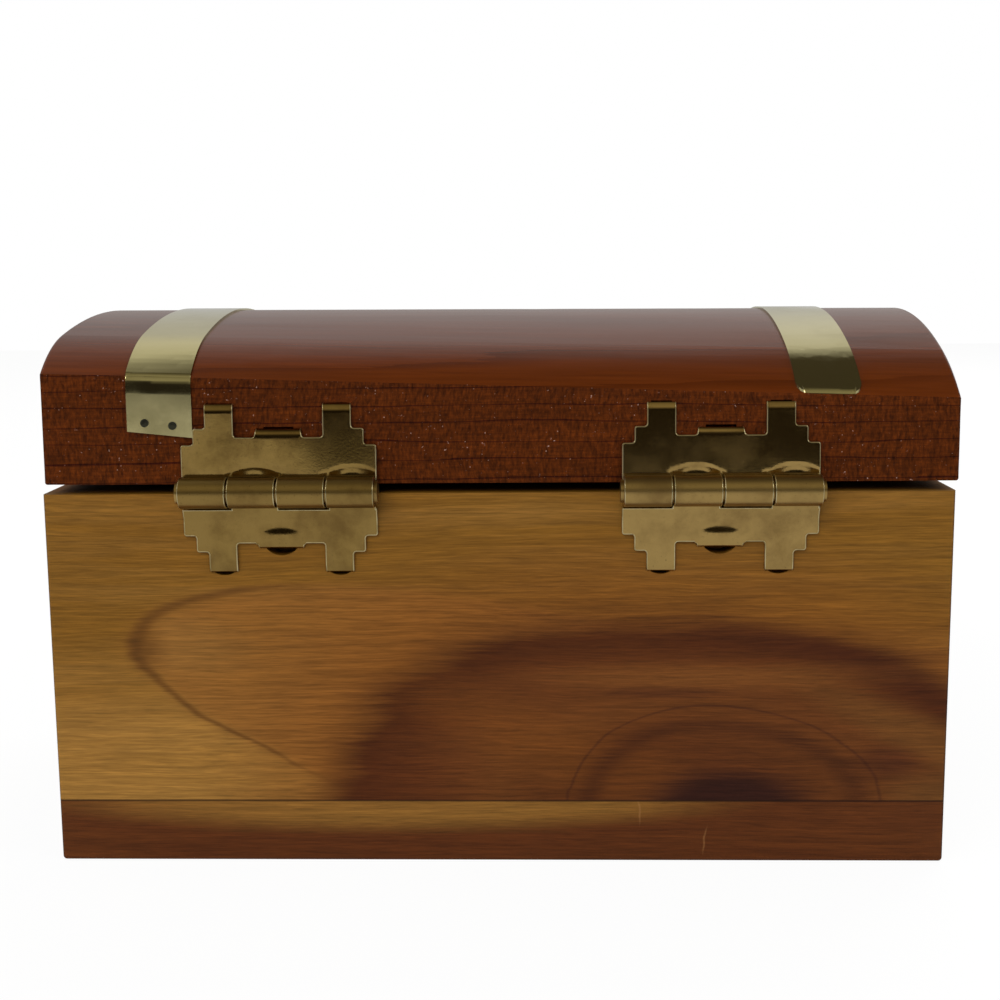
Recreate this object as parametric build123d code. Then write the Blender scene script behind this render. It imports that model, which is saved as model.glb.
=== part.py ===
from build123d import *
import math
import os

# A small cedar treasure chest with a barrel lid, sheet hinges, lid straps and a front hasp.
# Millimetres. The origin is the middle of the face that the chest stands on, +Z is up,
# the front faces -Y and the hinges are on the +Y side.

# Chest body: planed boards, 3/8 inch thick
chest_width = 133.35
chest_depth = 82.55
body_height = 56.4
wall_thickness = 9.525
bottom_thickness = 9.525
rebate_depth = 6.35
arris_radius = 0.6

# Lid board: its barrel top is lower at the left end than at the right
lid_gap = 1.52
rim_touch = 0.05
left_wall_top = 12.0
left_shoulder_height = 18.4
left_crest_height = 24.45
right_wall_top = 16.3
right_shoulder_height = 21.6
right_crest_height = 25.05
shoulder_run = 10.5
lid_arris_radius = 0.5
lid_side_shift = 0.35

# Hinges: stamped sheet with stepped ears, rolled knuckles and a wire pin
hinge_sheet = 0.6
hinge_width = 28.575
left_hinge_inset = 34.0
right_hinge_inset = 35.15
hinge_pin_radius = 1.65
pin_clearance = 0.05
pin_end_length = 0.35
knuckle_count = 4
knuckle_end_gap = 0.15
hinge_standoff = 0.3
hinge_axis_rise = 0.55
leaf_side_rise = 6.75
leaf_step_width = 1.8
leaf_step_rise = 2.4
ear_width = 4.2
lid_ear_rise = 12.8
body_ear_rise = 12.25
web_rise = 7.85
tab_width = 6.4
lid_tab_rise = 9.3
body_tab_rise = 8.8
tab_slope = 0.7
leaf_corner_radius = 0.6
web_corner_share = 0.45
bend_radius = 0.5
arch_foot = 1.4
arch_rise = 1.9
prong_length = 4.0
ear_slit_height = 0.45
tab_slit_height = 0.95

# Straps over the lid: thin sheet, one end square and nailed, the other rounded
strap_width = 9.525
strap_thickness = 0.3
left_strap_inset = 18.475
right_strap_inset = 17.8
strap_corner_radius = 1.7
flap_bottom = 7.3
flap_skew_angle = 5.8
nail_spacing = 4.1
nail_row_shift = 0.28
nail_rise = 1.5
nail_shank_radius = 0.35
nail_head_radius = 0.6
nail_head_height = 0.15
nail_length = 7.0

# Brads that hold the bottom board
brad_shank_radius = 0.7
brad_head_radius = 1.4
brad_head_height = 0.6
brad_sink = 0.4
brad_length = 22.0
brad_side_inset = 18.0
nail_clearance = 0.05

# Hasp on the lid
hasp_sheet = 0.6
hasp_width = 13.0
hasp_axis_height = 2.0
hasp_pin_radius = 0.95
hasp_standoff = 0.5
hasp_middle_knuckle = 5.0
hasp_plate_rise = 7.0
hasp_prong_width = 3.0
hasp_prong_length = 4.0
hasp_flap_length = 19.5
hasp_flap_inset = 0.9
hasp_slot_width = 4.4
hasp_slot_height = 10.4
hasp_slot_drop = 12.0
hasp_end_radius = 4.0
hasp_stored_angle = 188.0

# Staple on the body front
staple_sheet = 0.6
staple_plate_width = 9.0
staple_plate_height = 15.0
staple_corner_radius = 1.5
staple_wire_radius = 1.0
staple_bend_radius = 3.6
staple_reach = 3.6
staple_leg_depth = 5.0
staple_prong_width = 3.0
staple_prong_length = 4.0

# Cutting tools run this far past what they cut
overrun = 5.0

# Values worked out from the sizes above
half_width = chest_width / 2
half_depth = chest_depth / 2
left_hinge_x = left_hinge_inset - half_width
right_hinge_x = half_width - right_hinge_inset
left_strap_x = left_strap_inset - half_width
right_strap_x = half_width - right_strap_inset
rebate_lip = wall_thickness - rebate_depth
knuckle_bore_radius = hinge_pin_radius + pin_clearance
knuckle_radius = knuckle_bore_radius + hinge_sheet
knuckle_pitch = hinge_width / knuckle_count
hinge_out = knuckle_radius + hinge_standoff
hinge_y = half_depth + hinge_out
hinge_z = body_height + hinge_axis_rise
lid_bottom = body_height + lid_gap
hasp_bore_radius = hasp_pin_radius + pin_clearance
hasp_radius = hasp_bore_radius + hasp_sheet
hasp_out = hasp_radius + hasp_standoff
hasp_y = -half_depth - hasp_out
hasp_z = lid_bottom + hasp_axis_height

# The closed lid leans forward on its hinges until its front edge meets the rim
lid_reach = hinge_y + half_depth
lid_lift = lid_gap - hinge_axis_rise
closed_tilt = math.degrees(
    math.atan2(lid_lift, lid_reach)
    + math.asin((hinge_axis_rise - rim_touch) / math.hypot(lid_reach, lid_lift))
)
close_lid = Pos(0, hinge_y, hinge_z) * Rot(closed_tilt, 0, 0) * Pos(0, -hinge_y, -hinge_z)

# The lid board sits a little to the left of the body
set_board = Pos(-lid_side_shift, 0, 0)
hasp_point = (close_lid * Pos(0, hasp_y, hasp_z)).position
staple_height = hasp_point.Z - hasp_slot_drop


def block(low, high):
    """A box between two corners."""
    size = Vector(*high) - Vector(*low)
    return Pos(*low) * Box(size.X, size.Y, size.Z, align=(Align.MIN, Align.MIN, Align.MIN))


def rod(radius, length):
    """A round bar along X, about the origin."""
    return Rot(0, 90, 0) * Cylinder(radius, length)


def body_envelope():
    """The body's outer shape with its worn outer edges."""
    outer = block((-half_width, -half_depth, 0), (half_width, half_depth, body_height))
    worn_edges = outer.edges().filter_by(Axis.Z) + outer.edges().group_by(Axis.Z)[0]
    return fillet(worn_edges, arris_radius)


def long_panel(side):
    """Front (-1) or back (+1) panel: full width, rebated at both ends for the end panels."""
    inner = half_depth - wall_thickness
    shoulder = half_width - wall_thickness
    lip_face = half_depth - rebate_lip
    panel = block((-half_width, inner, bottom_thickness), (half_width, half_depth, body_height))
    for end in (-1, 1):
        near = min(end * shoulder, end * (half_width + overrun))
        far = max(end * shoulder, end * (half_width + overrun))
        low = (near, inner - overrun, bottom_thickness - overrun)
        panel -= block(low, (far, lip_face, body_height + overrun))
    if side < 0:
        panel = Rot(0, 0, 180) * panel
    return panel & body_envelope()


def end_panel(side):
    """Left (-1) or right (+1) end panel, seated in the rebates of the long panels."""
    reach = half_depth - rebate_lip
    panel = block(
        (half_width - wall_thickness, -reach, bottom_thickness),
        (half_width, reach, body_height),
    )
    if side < 0:
        panel = Rot(0, 0, 180) * panel
    return panel & body_envelope()


def bottom_board():
    """Full-size board under the walls."""
    board = block((-half_width, -half_depth, 0), (half_width, half_depth, bottom_thickness))
    return board & body_envelope()


def brad_places():
    """Where the bottom board is nailed up into the walls."""
    side_x = half_width - brad_side_inset
    wall_y = half_depth - wall_thickness / 2
    end_x = half_width - wall_thickness / 2
    places = [(x, y) for y in (-wall_y, wall_y) for x in (-side_x, 0, side_x)]
    return places + [(-end_x, 0), (end_x, 0)]


def brad(clearance):
    """One brad, or with a clearance the hole for it. It stands head down below its place."""
    up = (Align.CENTER, Align.CENTER, Align.MIN)
    shank = Pos(0, 0, brad_sink) * Cylinder(brad_shank_radius + clearance, brad_length, align=up)
    head_radius = brad_head_radius + clearance
    head = Pos(0, 0, brad_sink) * Cylinder(head_radius, brad_head_height, align=up)
    if clearance > 0:
        head += Cylinder(head_radius, brad_sink + clearance, align=up)
    return shank + head


def all_brads(clearance):
    """The brads, or their holes."""
    return [Pos(x, y, 0) * brad(clearance) for x, y in brad_places()]


def lid_profile(wall_top, shoulder_height, crest_height, skin):
    """Outline of the lid across its depth, grown outwards by a skin's thickness.

    A wide crown arc meets a tighter shoulder arc on each side, and each shoulder ends in a
    crisp edge at the top of the upright wall.
    """
    crown_run = half_depth - shoulder_run
    crown_rise = crest_height - shoulder_height
    crown_radius = (crown_run**2 + crown_rise**2) / (2 * crown_rise)
    crown_centre = Vector(0, crest_height - crown_radius)
    joint = Vector(crown_run, shoulder_height)
    normal = (joint - crown_centre).normalized()
    chord = Vector(half_depth, wall_top) - joint
    shoulder_radius = -chord.length**2 / (2 * chord.dot(normal))
    shoulder_centre = joint - normal * shoulder_radius
    wall = half_depth + skin
    edge_rise = math.sqrt((shoulder_radius + skin) ** 2 - (wall - shoulder_centre.X) ** 2)
    edge_height = shoulder_centre.Y + edge_rise
    outer_joint = joint + normal * skin
    lines = Line((-wall, 0), (wall, 0))
    for side in (-1, 1):
        lines += Line((side * wall, 0), (side * wall, edge_height))
        lines += TangentArc(
            (side * outer_joint.X, outer_joint.Y),
            (side * wall, edge_height),
            tangent=(side * normal.Y, -normal.X),
        )
    lines += ThreePointArc(
        (-outer_joint.X, outer_joint.Y), (0, crest_height + skin), (outer_joint.X, outer_joint.Y)
    )
    return make_face(lines)


def lid_body(skin):
    """The barrel lid from its left end to its right end, level, with its underside at zero."""
    left = lid_profile(left_wall_top, left_shoulder_height, left_crest_height, skin)
    right = lid_profile(right_wall_top, right_shoulder_height, right_crest_height, skin)
    ends = [Plane.YZ.offset(-half_width) * left, Plane.YZ.offset(half_width) * right]
    return loft(ends, ruled=True)


def lid_board():
    """The lid's plank with its end edges eased."""
    board = lid_body(0)
    end_edges = board.edges().filter_by_position(Axis.X, -half_width, -half_width)
    end_edges += board.edges().filter_by_position(Axis.X, half_width, half_width)
    return set_board * fillet(end_edges, lid_arris_radius)


def strap_nails(x, side, clearance):
    """The two nails of a strap's square end, on the lid's rear (+1) or front (-1) wall."""
    face = half_depth + strap_thickness
    nails = []
    for end in (-1, 1):
        along = nail_row_shift + end * nail_spacing / 2
        place = Pos(x, 0, flap_bottom) * Rot(0, -flap_skew_angle, 0) * Pos(along, 0, nail_rise)
        shank = Cylinder(nail_shank_radius + clearance, nail_length)
        shank = Pos(0, face - nail_length / 2, 0) * Rot(90, 0, 0) * shank
        if clearance == 0:
            head = Cylinder(nail_head_radius, nail_head_height)
            head = Pos(0, face + nail_head_height / 2, 0) * Rot(90, 0, 0) * head
            shank += head
        nails.append(place * (mirror(shank, about=Plane.XZ) if side < 0 else shank))
    return nails


def strap(x, side):
    """A strap over the lid. Its square end is turned down the rear (+1) or front (-1) wall."""
    band_reach = half_depth + overrun
    rounded_edge = -half_depth
    plan = Pos(0, (band_reach + rounded_edge) / 2) * Rectangle(
        strap_width, band_reach - rounded_edge
    )
    plan = fillet(plan.vertices().group_by(Axis.Y)[0], strap_corner_radius)
    band = extrude(plan, amount=right_crest_height + overrun)
    below = block((-strap_width, 0, -overrun - strap_width), (strap_width, band_reach, 0))
    band -= Pos(0, 0, flap_bottom) * Rot(0, -flap_skew_angle, 0) * below
    if side < 0:
        band = mirror(band, about=Plane.XZ)
    skin = lid_body(strap_thickness) - lid_body(0)
    piece = (Pos(x, 0, 0) * band) & (set_board * skin)
    for hole in strap_nails(x, side, nail_clearance):
        piece -= hole
    return piece


def leaf_outline(ear_rise, tab_rise):
    """One hinge leaf's stepped outline above the pin axis, with its corners eased."""
    half_leaf = hinge_width / 2
    ear_outer = half_leaf - 2 * leaf_step_width
    ear_inner = ear_outer - ear_width
    half_tab = tab_width / 2
    right_half = [
        (half_leaf, 0),
        (half_leaf, leaf_side_rise),
        (half_leaf - leaf_step_width, leaf_side_rise),
        (half_leaf - leaf_step_width, leaf_side_rise + leaf_step_rise),
        (ear_outer, leaf_side_rise + leaf_step_rise),
        (ear_outer, ear_rise),
        (ear_inner, ear_rise),
        (ear_inner, web_rise),
        (half_tab, web_rise),
        (half_tab - tab_slope, tab_rise),
    ]
    left_half = [(-x, z) for x, z in reversed(right_half)]
    outline = make_face(Polyline(*right_half, *left_half, close=True))
    corners = outline.vertices().filter_by_position(Axis.Y, leaf_side_rise / 2, ear_rise)
    web_width = ear_inner - half_tab
    return fillet(corners, min(leaf_corner_radius, web_width * web_corner_share))


def leaf_tips(ear_rise, tab_rise):
    """Middle, top and bent width of the two ears and of the middle tab."""
    ear_middle = hinge_width / 2 - 2 * leaf_step_width - ear_width / 2
    ear_span = ear_width - 2 * leaf_corner_radius
    tab_span = tab_width - 2 * tab_slope - leaf_corner_radius
    return [(-ear_middle, ear_rise, ear_span), (ear_middle, ear_rise, ear_span), (0, tab_rise, tab_span)]


def prong(x, top, span):
    """A bent tip that bites into the wood."""
    low = (x - span / 2, -hinge_out - prong_length, top - hinge_sheet)
    return block(low, (x + span / 2, -hinge_out, top))


def bend_cutter(x, top):
    """Rounds the outside of the bend at the top of an ear or the tab."""
    face = hinge_sheet - hinge_out
    low = (x - tab_width / 2, face - bend_radius, top - bend_radius)
    corner = block(low, (x + tab_width / 2, face + overrun, top + overrun))
    return corner - Pos(x, face - bend_radius, top - bend_radius) * rod(bend_radius, tab_width)


def prong_slit(x, top, span, opening):
    """Slot in the wood for a prong, torn open in a half moon beyond the bent tip."""
    moon = Line((-span / 2, top), (span / 2, top))
    moon += ThreePointArc((span / 2, top), (0, top + opening), (-span / 2, top))
    tear = extrude(Plane.XZ * make_face(moon), amount=prong_length)
    return prong(x, top, span) + Pos(x, -hinge_out, 0) * tear


def lid_slots():
    """Snug slots in the lid for the prongs of its leaf."""
    return [prong(*tip) for tip in leaf_tips(lid_ear_rise, lid_tab_rise)]


def body_slots():
    """Slots in the back panel for the prongs of its leaf, before it is turned over."""
    openings = (ear_slit_height, ear_slit_height, tab_slit_height)
    tips = leaf_tips(body_ear_rise, body_tab_rise)
    return [prong_slit(*tip, opening) for tip, opening in zip(tips, openings)]


def knuckle_x(index):
    """Middle of a knuckle, counted from the leaf's +X side."""
    return hinge_width / 2 - (index + 0.5) * knuckle_pitch


def knuckle_arch(index):
    """Low arched opening in a leaf that clears a knuckle of the other leaf."""
    half_arch = knuckle_pitch / 2 + knuckle_end_gap
    arch = Line((half_arch, arch_foot), (half_arch, -arch_foot))
    arch += Line((half_arch, -arch_foot), (-half_arch, -arch_foot))
    arch += Line((-half_arch, -arch_foot), (-half_arch, arch_foot))
    arch += ThreePointArc((-half_arch, arch_foot), (0, arch_rise), (half_arch, arch_foot))
    tool = extrude(Plane.XZ * make_face(arch), amount=hinge_out, both=True)
    return Pos(knuckle_x(index), -hinge_out, 0) * tool


def leaf(ear_rise, tab_rise):
    """A leaf above its pin axis, with knuckles 1 and 3 from its +X side and clear of 2 and 4."""
    plate = extrude(Plane.XZ * leaf_outline(ear_rise, tab_rise), amount=-hinge_sheet)
    piece = Pos(0, -hinge_out, 0) * plate
    for tip in leaf_tips(ear_rise, tab_rise):
        piece += prong(*tip)
        piece -= bend_cutter(*tip[:2])
    for index in (1, 3):
        piece -= knuckle_arch(index)
    for index in (0, 2):
        roll = rod(knuckle_radius, knuckle_pitch - knuckle_end_gap)
        piece += Pos(knuckle_x(index), 0, 0) * roll
    return piece - rod(knuckle_bore_radius, hinge_width + overrun)


def lid_leaf():
    """The upper leaf."""
    return leaf(lid_ear_rise, lid_tab_rise)


def body_leaf():
    """The lower leaf: the same stamping turned over, bent a little nearer to its steps."""
    return Rot(0, 180, 0) * leaf(body_ear_rise, body_tab_rise)


def hinge_pin():
    """Wire pin, a little longer than the hinge."""
    return rod(hinge_pin_radius, hinge_width + 2 * pin_end_length)


def at_hinge(shape, x):
    """Place a hinge piece on the chest."""
    return Pos(x, hinge_y, hinge_z) * shape


def hasp_roll(side_knuckles, clear):
    """The hasp's rolled knuckles: the two outer ones, or the middle one."""
    if not side_knuckles:
        return rod(hasp_radius, hasp_middle_knuckle - clear)
    outer = rod(hasp_radius, hasp_width)
    return outer - rod(hasp_radius + overrun, hasp_middle_knuckle + clear)


def hasp_plate_prongs():
    """Two prongs at the top of the hasp plate."""
    prongs = []
    middle = (hasp_width - hasp_prong_width) / 2
    for x in (-middle, middle):
        low = (x - hasp_prong_width / 2, hasp_out, hasp_plate_rise - hasp_sheet)
        high = (x + hasp_prong_width / 2, hasp_out + hasp_prong_length, hasp_plate_rise)
        prongs.append(block(low, high))
    return prongs


def hasp_plate():
    """Fixed plate on the lid's front, about the hasp's pin axis, wood on its +Y side."""
    half_plate = hasp_width / 2
    piece = block((-half_plate, hasp_out - hasp_sheet, 0), (half_plate, hasp_out, hasp_plate_rise))
    clear = hasp_middle_knuckle / 2 + knuckle_end_gap
    notch_top = hasp_radius + hasp_standoff
    piece -= block((-clear, 0, -overrun), (clear, hasp_out + overrun, notch_top))
    piece += hasp_roll(True, knuckle_end_gap)
    for prong in hasp_plate_prongs():
        piece += prong
    return piece - rod(hasp_bore_radius, hasp_width + overrun)


def hasp_flap():
    """Swinging flap, hanging straight down from the pin axis, with its staple slot."""
    half_flap = hasp_width / 2
    inner = hasp_flap_inset + hasp_sheet / 2
    outline = Pos(0, -hasp_flap_length / 2) * Rectangle(hasp_width, hasp_flap_length)
    outline = fillet(outline.vertices().group_by(Axis.Y)[0], hasp_end_radius)
    outline -= Pos(0, -hasp_slot_drop) * Rectangle(hasp_slot_width, hasp_slot_height)
    piece = Pos(0, inner, 0) * extrude(Plane.XZ * outline, amount=hasp_sheet)
    clear = hasp_middle_knuckle / 2 - knuckle_end_gap
    side_drop = hasp_radius + hasp_standoff
    for end in (-1, 1):
        near = min(end * clear, end * (half_flap + overrun))
        far = max(end * clear, end * (half_flap + overrun))
        piece -= block((near, -overrun, -side_drop), (far, overrun, overrun))
    piece += hasp_roll(False, 2 * knuckle_end_gap)
    return piece - rod(hasp_bore_radius, hasp_width + overrun)


def hasp_pin():
    """Wire pin of the hasp."""
    return rod(hasp_pin_radius, hasp_width + 2 * pin_end_length)


def at_hasp(shape):
    """Place a hasp piece on the chest, with the lid level."""
    return Pos(0, hasp_y, hasp_z) * shape


def stored_flap():
    """The flap swung up to where it leans back on the lid, from hanging down on the body."""
    return Pos(*hasp_point) * Rot(-hasp_stored_angle, 0, 0) * hasp_flap()


def staple_prongs():
    """Prongs at the top and bottom of the staple plate."""
    prongs = []
    half_prong = staple_prong_width / 2
    for side in (-1, 1):
        outer = side * staple_plate_height / 2
        inner = outer - side * staple_sheet
        low = (-half_prong, -half_depth, min(inner, outer))
        high = (half_prong, -half_depth + staple_prong_length, max(inner, outer))
        prongs.append(Pos(0, 0, staple_height) * block(low, high))
    return prongs


def staple_path():
    """Centre line of the staple's wire: two legs and a half turn."""
    plate_face = -half_depth - staple_sheet
    bend_y = plate_face - (staple_reach - staple_sheet)
    root = -half_depth + staple_leg_depth
    bend = staple_bend_radius
    path = Line((root, bend), (bend_y, bend))
    path += ThreePointArc((bend_y, bend), (bend_y - bend, 0), (bend_y, -bend))
    path += Line((bend_y, -bend), (root, -bend))
    return Plane.YZ * path


def staple_wire(clearance):
    """The staple's bent wire, or the holes for it."""
    start = Plane((0, -half_depth + staple_leg_depth, staple_bend_radius), z_dir=(0, -1, 0))
    ring = start * Circle(staple_wire_radius + clearance)
    return Pos(0, 0, staple_height) * sweep(ring, path=staple_path())


def staple_plate():
    """Plate under the staple's wire."""
    face = RectangleRounded(staple_plate_width, staple_plate_height, staple_corner_radius)
    plate = extrude(Plane.XZ * face, amount=staple_sheet)
    piece = Pos(0, -half_depth, staple_height) * plate
    for prong in staple_prongs():
        piece += prong
    return piece - staple_wire(nail_clearance)


def cut_all(piece, tools):
    """Cut every tool out of a piece."""
    for tool in tools:
        piece -= tool
    return piece


def lid_group():
    """Pieces that turn with the lid, level, as name and shape."""
    hinges = {"left": left_hinge_x, "right": right_hinge_x}
    lift = Pos(0, 0, lid_bottom)
    board = lift * lid_board()
    for x in hinges.values():
        board = cut_all(board, [at_hinge(slot, x) for slot in lid_slots()])
    board = cut_all(board, [at_hasp(prong) for prong in hasp_plate_prongs()])
    nail_sides = ((left_strap_x, -1), (right_strap_x, 1))
    for x, side in nail_sides:
        board = cut_all(board, [lift * hole for hole in strap_nails(x, side, nail_clearance)])
    pieces = {"lid_board": board}
    pieces["left_strap"] = lift * strap(left_strap_x, -1)
    pieces["right_strap"] = lift * strap(right_strap_x, 1)
    nails = [lift * nail for x, side in nail_sides for nail in strap_nails(x, side, 0)]
    pieces["strap_nails"] = Compound(nails)
    for name, x in hinges.items():
        pieces[f"{name}_hinge_lid_leaf"] = at_hinge(lid_leaf(), x)
    pieces["hasp_plate"] = at_hasp(hasp_plate())
    pieces["hasp_pin"] = at_hasp(hasp_pin())
    return pieces


def body_group():
    """Pieces of the chest body, as name and shape."""
    hinges = {"left": left_hinge_x, "right": right_hinge_x}
    brad_holes = all_brads(nail_clearance)
    back = long_panel(1)
    for x in hinges.values():
        slots = [at_hinge(Rot(0, 180, 0) * slot, x) for slot in body_slots()]
        back = cut_all(back, slots)
    front = cut_all(long_panel(-1), staple_prongs())
    front -= staple_wire(nail_clearance)
    pieces = {
        "back_panel": cut_all(back, brad_holes),
        "front_panel": cut_all(front, brad_holes),
        "left_end_panel": cut_all(end_panel(-1), brad_holes),
        "right_end_panel": cut_all(end_panel(1), brad_holes),
        "bottom_board": cut_all(bottom_board(), brad_holes),
        "bottom_brads": Compound(all_brads(0)),
    }
    for name, x in hinges.items():
        pieces[f"{name}_hinge_body_leaf"] = at_hinge(body_leaf(), x)
        pieces[f"{name}_hinge_pin"] = at_hinge(hinge_pin(), x)
    pieces["staple_plate"] = staple_plate()
    pieces["staple_loop"] = staple_wire(0)
    return pieces


os.makedirs("parts", exist_ok=True)
parts = body_group()
for part_name, part_shape in lid_group().items():
    parts[part_name] = close_lid * part_shape
parts["hasp_flap"] = stored_flap()
for part_name, part_shape in parts.items():
    export_step(part_shape, f"parts/{part_name}.step")

print("lid hinge axis", hinge_y, hinge_z)
print("hasp axis", hasp_point.Y, hasp_point.Z)
print("closed tilt", closed_tilt)
print("staple middle height", staple_height)
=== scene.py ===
# %% [markdown]
# # A small cedar treasure chest
#
# The chest is a souvenir box of eastern red cedar with a varnished barrel lid, two stamped
# hinges, two thin straps and a hasp. Its wood and metal pieces come packed from the CAD model
# at their real size, so this script gives them their looks: the figure of each board, the
# varnish and the tarnish. Only the hinge leaves and the straps are made again, with the dents,
# round folds and worn edges of pressed sheet.

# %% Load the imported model
import math

import bmesh
import bpy
from mathutils import Matrix, Vector


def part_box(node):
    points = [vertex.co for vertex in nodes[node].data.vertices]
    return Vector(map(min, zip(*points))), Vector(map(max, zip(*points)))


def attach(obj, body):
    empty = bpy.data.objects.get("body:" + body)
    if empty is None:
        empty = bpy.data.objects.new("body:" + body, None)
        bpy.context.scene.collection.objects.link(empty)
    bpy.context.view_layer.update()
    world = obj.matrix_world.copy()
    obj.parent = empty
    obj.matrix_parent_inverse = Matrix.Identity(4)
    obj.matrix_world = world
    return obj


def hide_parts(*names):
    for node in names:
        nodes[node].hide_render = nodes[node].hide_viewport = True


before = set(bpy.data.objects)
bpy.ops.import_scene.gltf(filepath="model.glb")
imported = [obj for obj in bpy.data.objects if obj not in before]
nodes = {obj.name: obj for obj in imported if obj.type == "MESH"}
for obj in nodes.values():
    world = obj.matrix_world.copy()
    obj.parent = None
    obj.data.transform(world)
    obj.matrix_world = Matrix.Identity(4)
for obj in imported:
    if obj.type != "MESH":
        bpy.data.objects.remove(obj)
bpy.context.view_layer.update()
MM = 0.001
print("nodes", len(nodes))

# %% [markdown]
# ## The camera
#
# A product photo is matched first by its camera, because every later comparison depends on
# it. The place and the turns below come from lining up the chest's edges with the picture:
# the camera looks at the hinge side, nine degrees down, from about 22 cm away. A camera
# could also be aimed with a constraint, but three plain turns say exactly what it does.

# %% Camera
camera_place = Vector((-6.86, 256.71, 88.42)) * MM
look_down = math.radians(8.73)
look_aside = math.radians(1.65)
camera_roll = math.radians(-0.51)
film_width = 36.0
lens_length = 53.8

camera = bpy.data.objects.new("camera", bpy.data.cameras.new("camera"))
camera.data.sensor_width = film_width
camera.data.lens = lens_length
heading = Matrix.Rotation(math.pi + look_aside, 4, "Z")
pitch = Matrix.Rotation(math.pi / 2 - look_down, 4, "X")
roll = Matrix.Rotation(camera_roll, 4, "Z")
camera.matrix_world = Matrix.Translation(camera_place) @ heading @ pitch @ roll
bpy.context.scene.collection.objects.link(camera)
bpy.context.scene.camera = camera
bpy.context.scene.view_settings.view_transform = "Standard"
print("camera", [round(level / MM, 1) for level in camera.matrix_world.translation])

# %% [markdown]
# ## Helpers for materials
#
# Colours are written as sRGB hex, as an eyedropper shows them, and Blender's nodes want
# linear light, so one function turns them. Every material below is a tree of nodes, and one
# more function adds a node, gives it its settings, and sets or links its inputs.

# %% Colour and node helpers
def linear(hex_colour):
    """An sRGB hex colour as linear red, green, blue and an alpha of one."""
    channels = [int(hex_colour[i:i + 2], 16) / 255 for i in (1, 3, 5)]
    return (*[c / 12.92 if c <= 0.04045 else ((c + 0.055) / 1.055) ** 2.4 for c in channels], 1.0)


def add(tree, kind, inputs=(), **settings):
    """Add a node with its settings, then set or link its inputs, by name or in order.

    An input may be a number, a vector, a hex colour, an output, or a node, which stands for
    its first output. None leaves an input as it is.
    """
    node = tree.nodes.new(kind)
    for setting, value in settings.items():
        setattr(node, setting, value)
    sockets = [socket for socket in node.inputs if socket.enabled]
    if isinstance(inputs, dict):
        inputs = [inputs.get(socket.name) for socket in sockets]
    for socket, value in zip(sockets, inputs):
        if isinstance(value, bpy.types.Node):
            value = next(output for output in value.outputs if output.enabled)
        if isinstance(value, bpy.types.NodeSocket):
            tree.links.new(value, socket)
        elif isinstance(value, str):
            socket.default_value = linear(value)
        elif value is not None:
            socket.default_value = value
    return node


def new_material(name):
    """A material with an empty tree."""
    material = bpy.data.materials.new(name)
    material.use_nodes = True
    material.node_tree.nodes.clear()
    return material, material.node_tree


def set_stops(ramp, shades):
    """Give a colour ramp its stops, each a position and a hex colour."""
    stops = ramp.color_ramp.elements
    while len(stops) < len(shades):
        stops.new(1.0)
    for stop, (position, colour) in zip(stops, shades):
        stop.position = position
        stop.color = linear(colour)


SMOOTH = {"interpolation_type": "SMOOTHSTEP"}
COLOUR = {"data_type": "RGBA"}
print("helpers ready")

# %% [markdown]
# ## The room
#
# The photo stands the chest on a white table before a white wall, with a dim room behind the
# camera. A white world does the wall. In reflections the wall ends 50 to 64 degrees up, the
# ceiling is dim brown, and the camera's side is nearly black low down and paler half way up.
# Polished brass only looks like brass when it has something dark to show beside the table,
# and where the wall ends decides how far the sheen comes down the lid. In the photo the
# sheen ends higher at the right, so the wall's end climbs towards the left.

# %% World
ambient_level = 0.55
dim_room_from = 0.06
dim_room_to = 0.16
wall_end_climb = -0.45
wall_shades = [(0.0, "#C2C2C0"), (0.35, "#D2D2D0"), (0.6, "#F0F0EE"), (0.76, "#E8E8E4"), (0.9, "#4B4538")]
room_shades = [(0.0, "#2C2822"), (0.2, "#2C2822"), (0.5, "#B0AA94"), (0.8, "#A09A84"), (1.0, "#4B4538")]


def ray_kinds(tree):
    """Whether a ray comes from the camera, and whether it comes off metal or through glass."""
    rays = add(tree, "ShaderNodeLightPath").outputs
    bounced = [rays["Is Glossy Ray"], rays["Is Transmission Ray"]]
    return rays["Is Camera Ray"], add(tree, "ShaderNodeMath", bounced, operation="MAXIMUM")


world = bpy.data.worlds.new("white_room")
bpy.context.scene.world = world
world.use_nodes = True
sky = world.node_tree
sky.nodes.clear()
direction = add(sky, "ShaderNodeTexCoord").outputs["Generated"]
split = add(sky, "ShaderNodeSeparateXYZ", [direction])
climbing = [split.outputs["X"], wall_end_climb, split.outputs["Z"]]
wall_height = add(sky, "ShaderNodeMath", climbing, operation="MULTIPLY_ADD")
wall = add(sky, "ShaderNodeValToRGB", [wall_height])
set_stops(wall, wall_shades)
room = add(sky, "ShaderNodeValToRGB", [split.outputs["Z"]])
set_stops(room, room_shades)
towards_camera = [split.outputs["Y"], dim_room_from, dim_room_to]
camera_side = add(sky, "ShaderNodeMapRange", towards_camera, **SMOOTH)
seen_in_metal = add(sky, "ShaderNodeMix", [camera_side, wall, room], **COLOUR)
from_camera, mirrored = ray_kinds(sky)
lighting = add(sky, "ShaderNodeBackground", ["#FFFFFF", ambient_level])
reflection = add(sky, "ShaderNodeBackground", [seen_in_metal, 1.0])
backdrop = add(sky, "ShaderNodeBackground", ["#FFFFFF", 1.0])
lit = add(sky, "ShaderNodeMixShader", [mirrored, lighting, reflection])
shown = add(sky, "ShaderNodeMixShader", [from_camera, lit, backdrop])
add(sky, "ShaderNodeOutputWorld", [shown])
print("ambient level", ambient_level)

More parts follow.
